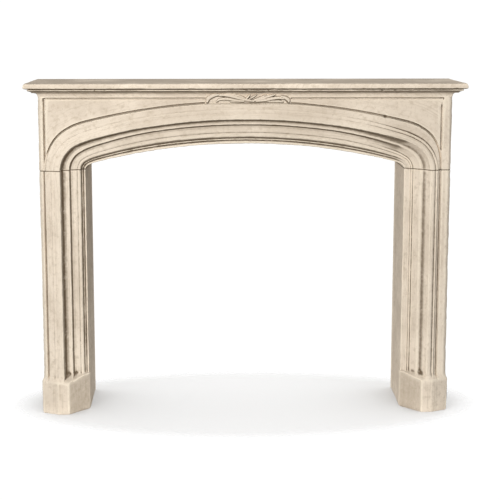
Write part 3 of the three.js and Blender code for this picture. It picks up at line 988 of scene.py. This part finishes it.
def add_node(tree, kind, settings=None, **inputs):
    """New shader node. Inputs are given by their names with _ for a space, or in0, in1 by place."""
    node = tree.nodes.new(kind)
    for key, value in (settings or {}).items():
        setattr(node, key, value)
    for key, value in inputs.items():
        by_place = key.startswith("in") and key[2:].isdigit()
        socket = node.inputs[int(key[2:]) if by_place else key.replace("_", " ")]
        if isinstance(value, bpy.types.NodeSocket):
            tree.links.new(value, socket)
        else:
            socket.default_value = value
    return node


def math_node(tree, operation, a, b):
    return add_node(tree, "ShaderNodeMath", {"operation": operation}, in0=a, in1=b).outputs[0]


def ramp(tree, value, low, high, top=1.0):
    """Smooth passage from 0 at low to top at high."""
    return add_node(
        tree, "ShaderNodeMapRange", {"interpolation_type": "SMOOTHSTEP"},
        Value=value, From_Min=low, From_Max=high, To_Min=0.0, To_Max=top,
    ).outputs[0]


def stone_measures(tree):
    """What the limestone's layers go by: values from the mesh, noises and the upward turn."""
    measures = {}
    for name in ("fine", "broad", "turned"):
        measures[name] = add_node(tree, "ShaderNodeAttribute", {"attribute_name": name}).outputs["Fac"]
    normal = add_node(tree, "ShaderNodeNewGeometry").outputs["Normal"]
    measures["up"] = add_node(tree, "ShaderNodeSeparateXYZ", None, Vector=normal).outputs["Z"]
    place = add_node(tree, "ShaderNodeTexCoord").outputs["Object"]
    course = add_node(tree, "ShaderNodeAttribute", {"attribute_name": "course"}).outputs["Vector"]
    drawn = add_node(tree, "ShaderNodeMapping", None, Vector=course, Scale=STREAK_STRETCH).outputs[0]
    for name, (scale, detail, roughness) in NOISES.items():
        measures[name] = add_node(
            tree, "ShaderNodeTexNoise", None, Vector=drawn if name == "streak" else place,
            Scale=scale, Detail=detail, Roughness=roughness,
        ).outputs["Fac"]
    return measures


def stone_colour(tree, measures):
    """The clean stone's colour under all its layers."""
    colour = CLEAN_STONE
    for measure, span, most, broken, paint in LAYERS.values():
        share = ramp(tree, measures[measure], *span, most)
        if broken:
            breaks, low, high = broken
            share = math_node(tree, "MULTIPLY", share, ramp(tree, measures[breaks], low, high))
        colour = add_node(
            tree, "ShaderNodeMix", {"data_type": "RGBA"}, in0=share, in6=colour, in7=paint,
        ).outputs[2]
    return colour


def stone_bump(tree, measures):
    """Normal with the finest relief: specks, mottling, streaks and pits."""
    relief = math_node(tree, "MULTIPLY", measures["speck"], SPECK_RELIEF)
    for name, share in (("mottle", MOTTLE_RELIEF), ("streak", STREAK_RELIEF)):
        relief = math_node(tree, "ADD", relief, math_node(tree, "MULTIPLY", measures[name], share))
    pits = math_node(tree, "MULTIPLY", ramp(tree, measures["pit"], *PIT_RANGE), PIT_RELIEF)
    relief = math_node(tree, "SUBTRACT", relief, pits)
    return add_node(
        tree, "ShaderNodeBump", None, Strength=BUMP_STRENGTH, Distance=BUMP_METRES, Height=relief,
    ).outputs[0]


def limestone_material():
    """Matt cream limestone with dust and painted shade on its ledges, dirt and painted shade in its
    hollows, and painted shade where it turns down or aside.
    """
    material = bpy.data.materials.new("aged_limestone")
    material.use_nodes = True
    tree = material.node_tree
    tree.nodes.clear()
    measures = stone_measures(tree)
    rough = add_node(
        tree, "ShaderNodeMapRange", None,
        Value=measures["mottle"], To_Min=ROUGHNESS[0], To_Max=ROUGHNESS[1],
    ).outputs[0]
    shader = add_node(
        tree, "ShaderNodeBsdfPrincipled", None, Base_Color=stone_colour(tree, measures),
        Roughness=rough, Specular_IOR_Level=SPECULAR, Normal=stone_bump(tree, measures),
    )
    add_node(tree, "ShaderNodeOutputMaterial", None, Surface=shader.outputs[0])
    return material


def stone_mesh(name, shells):
    """One mesh in metres from the shells of a piece, with their values for the material."""
    points, faces = [], []
    values = {"fine": [], "broad": [], "turned": [], "course": []}
    start = 0
    for rings, shell_faces, shell_values in shells:
        points.append(rings.reshape(-1, 3))
        faces += [[start + k for k in face] for face in shell_faces]
        start += len(points[-1])
        for key, found in shell_values.items():
            values[key].append(found.reshape(len(points[-1]), -1))
    mesh = bpy.data.meshes.new(name)
    mesh.from_pydata((np.concatenate(points) * MM).tolist(), [], faces)
    for key, found in values.items():
        kind, entry = ("FLOAT_VECTOR", "vector") if key == "course" else ("FLOAT", "value")
        attribute = mesh.attributes.new(key, kind, "POINT")
        attribute.data.foreach_set(entry, np.concatenate(found).ravel())
    return mesh


def piece(name, shells, material):
    """One object that stands for the CAD node of that name."""
    mesh = stone_mesh(name + "_stone", shells)
    work = bmesh.new()
    work.from_mesh(mesh)
    bmesh.ops.remove_doubles(work, verts=work.verts, dist=MERGE_METRES)
    bmesh.ops.recalc_face_normals(work, faces=work.faces)
    work.to_mesh(mesh)
    work.free()
    mesh.shade_smooth()
    mesh.set_sharp_from_angle(angle=SHARP_ANGLE)
    mesh.materials.append(material)
    stone = bpy.data.objects.new(name + "_carved", mesh)
    bpy.context.scene.collection.objects.link(stone)
    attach(stone, "root")
    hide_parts(name)
    return stone


def stage_material(name, shade, glow=0):
    """Matt grey of the given shade, with a white glow of its own where asked."""
    material = bpy.data.materials.new(name)
    material.use_nodes = True
    shader = material.node_tree.nodes["Principled BSDF"]
    shader.inputs["Base Color"].default_value = (shade, shade, shade, 1)
    shader.inputs["Roughness"].default_value = 1
    shader.inputs["Specular IOR Level"].default_value = 0
    shader.inputs["Emission Color"].default_value = (1, 1, 1, 1)
    shader.inputs["Emission Strength"].default_value = glow
    return material


def floor_material():
    """Pale floor that fades into the white surround away from the object."""
    material = stage_material("pale_floor", FLOOR_SHADE)
    tree = material.node_tree
    place = add_node(tree, "ShaderNodeTexCoord").outputs["Object"]
    scaled = add_node(
        tree, "ShaderNodeVectorMath", {"operation": "MULTIPLY"}, in0=place, in1=FLOOR_STRETCH,
    ).outputs["Vector"]
    distance = add_node(
        tree, "ShaderNodeVectorMath", {"operation": "LENGTH"}, in0=scaled,
    ).outputs["Value"]
    clear = add_node(tree, "ShaderNodeBsdfTransparent").outputs[0]
    matt = tree.nodes["Principled BSDF"].outputs[0]
    far = ramp(tree, distance, *FLOOR_FADE)
    faded = add_node(tree, "ShaderNodeMixShader", None, in0=far, in1=matt, in2=clear).outputs[0]
    tree.links.new(faded, tree.nodes["Material Output"].inputs["Surface"])
    return material


def add_stage():
    """Pale floor and a plain white surround that only the camera sees."""
    bpy.ops.mesh.primitive_circle_add(vertices=96, radius=FLOOR_RADIUS, fill_type="NGON")
    floor = bpy.context.object
    floor.name = "floor"
    floor.data.materials.append(floor_material())
    bpy.ops.mesh.primitive_uv_sphere_add(segments=48, ring_count=24, radius=SURROUND_RADIUS)
    surround = bpy.context.object
    surround.name = "surround"
    surround.data.materials.append(stage_material("white_surround", 0, SURROUND_GLOW))
    for ray in ("diffuse", "glossy", "transmission", "volume_scatter", "shadow"):
        setattr(surround, "visible_" + ray, False)
    return floor


def add_area_light(name, place, target, size, power):
    """Round soft lamp that faces its target."""
    light = bpy.data.lights.new(name, "AREA")
    light.shape = "DISK"
    light.size = size
    light.energy = power
    lamp = bpy.data.objects.new(name, light)
    bpy.context.scene.collection.objects.link(lamp)
    lamp.location = place
    aim = np.array(target) - np.array(place)
    flat = math.hypot(aim[0], aim[1])
    lamp.rotation_euler = (math.atan2(flat, -aim[2]), 0, math.atan2(aim[1], aim[0]) - math.pi / 2)
    return lamp


def floor_group(floor, state):
    """What a lamp lights: the floor alone with INCLUDE, everything but the floor with EXCLUDE."""
    group = bpy.data.collections.new(state.lower() + "_floor")
    group.objects.link(floor)
    group.collection_objects[0].light_linking.link_state = state
    return group


def add_lights(floor):
    """Studio light: a soft key in front, weak ones above and behind, and an even one for the floor."""
    world = bpy.data.worlds.new("studio")
    bpy.context.scene.world = world
    world.use_nodes = True
    background = world.node_tree.nodes["Background"]
    background.inputs["Color"].default_value = (1, 1, 1, 1)
    background.inputs["Strength"].default_value = WORLD_STRENGTH
    groups = {state: floor_group(floor, state) for state in ("EXCLUDE", "INCLUDE")}
    for name, (place, target, size, power, state) in LAMPS.items():
        lamp = add_area_light(name, place, target, size, power)
        lamp.light_linking.receiver_collection = groups[state]


def add_camera():
    """Camera of the main view, which shows colours as they are."""
    camera_data = bpy.data.cameras.new("photo_camera")
    camera = bpy.data.objects.new("photo_camera", camera_data)
    bpy.context.scene.collection.objects.link(camera)
    camera.location = CAMERA_PLACE
    camera.rotation_euler = (math.pi / 2 - CAMERA_PITCH, 0, CAMERA_YAW)
    camera_data.sensor_width = SENSOR_WIDTH
    camera_data.lens = LENS
    camera_data.shift_x, camera_data.shift_y = SHIFT
    bpy.context.scene.camera = camera
    bpy.context.scene.view_settings.view_transform = "Standard"


stone = limestone_material()
piece("left_jamb", [jamb_shell(-1)], stone)
piece("right_jamb", [jamb_shell(1)], stone)
piece("lintel", [lintel_shell(), fascia_shell(), ornament_shell()], stone)
piece("mantel_shelf", [shelf_shell()], stone)
add_lights(add_stage())
add_camera()
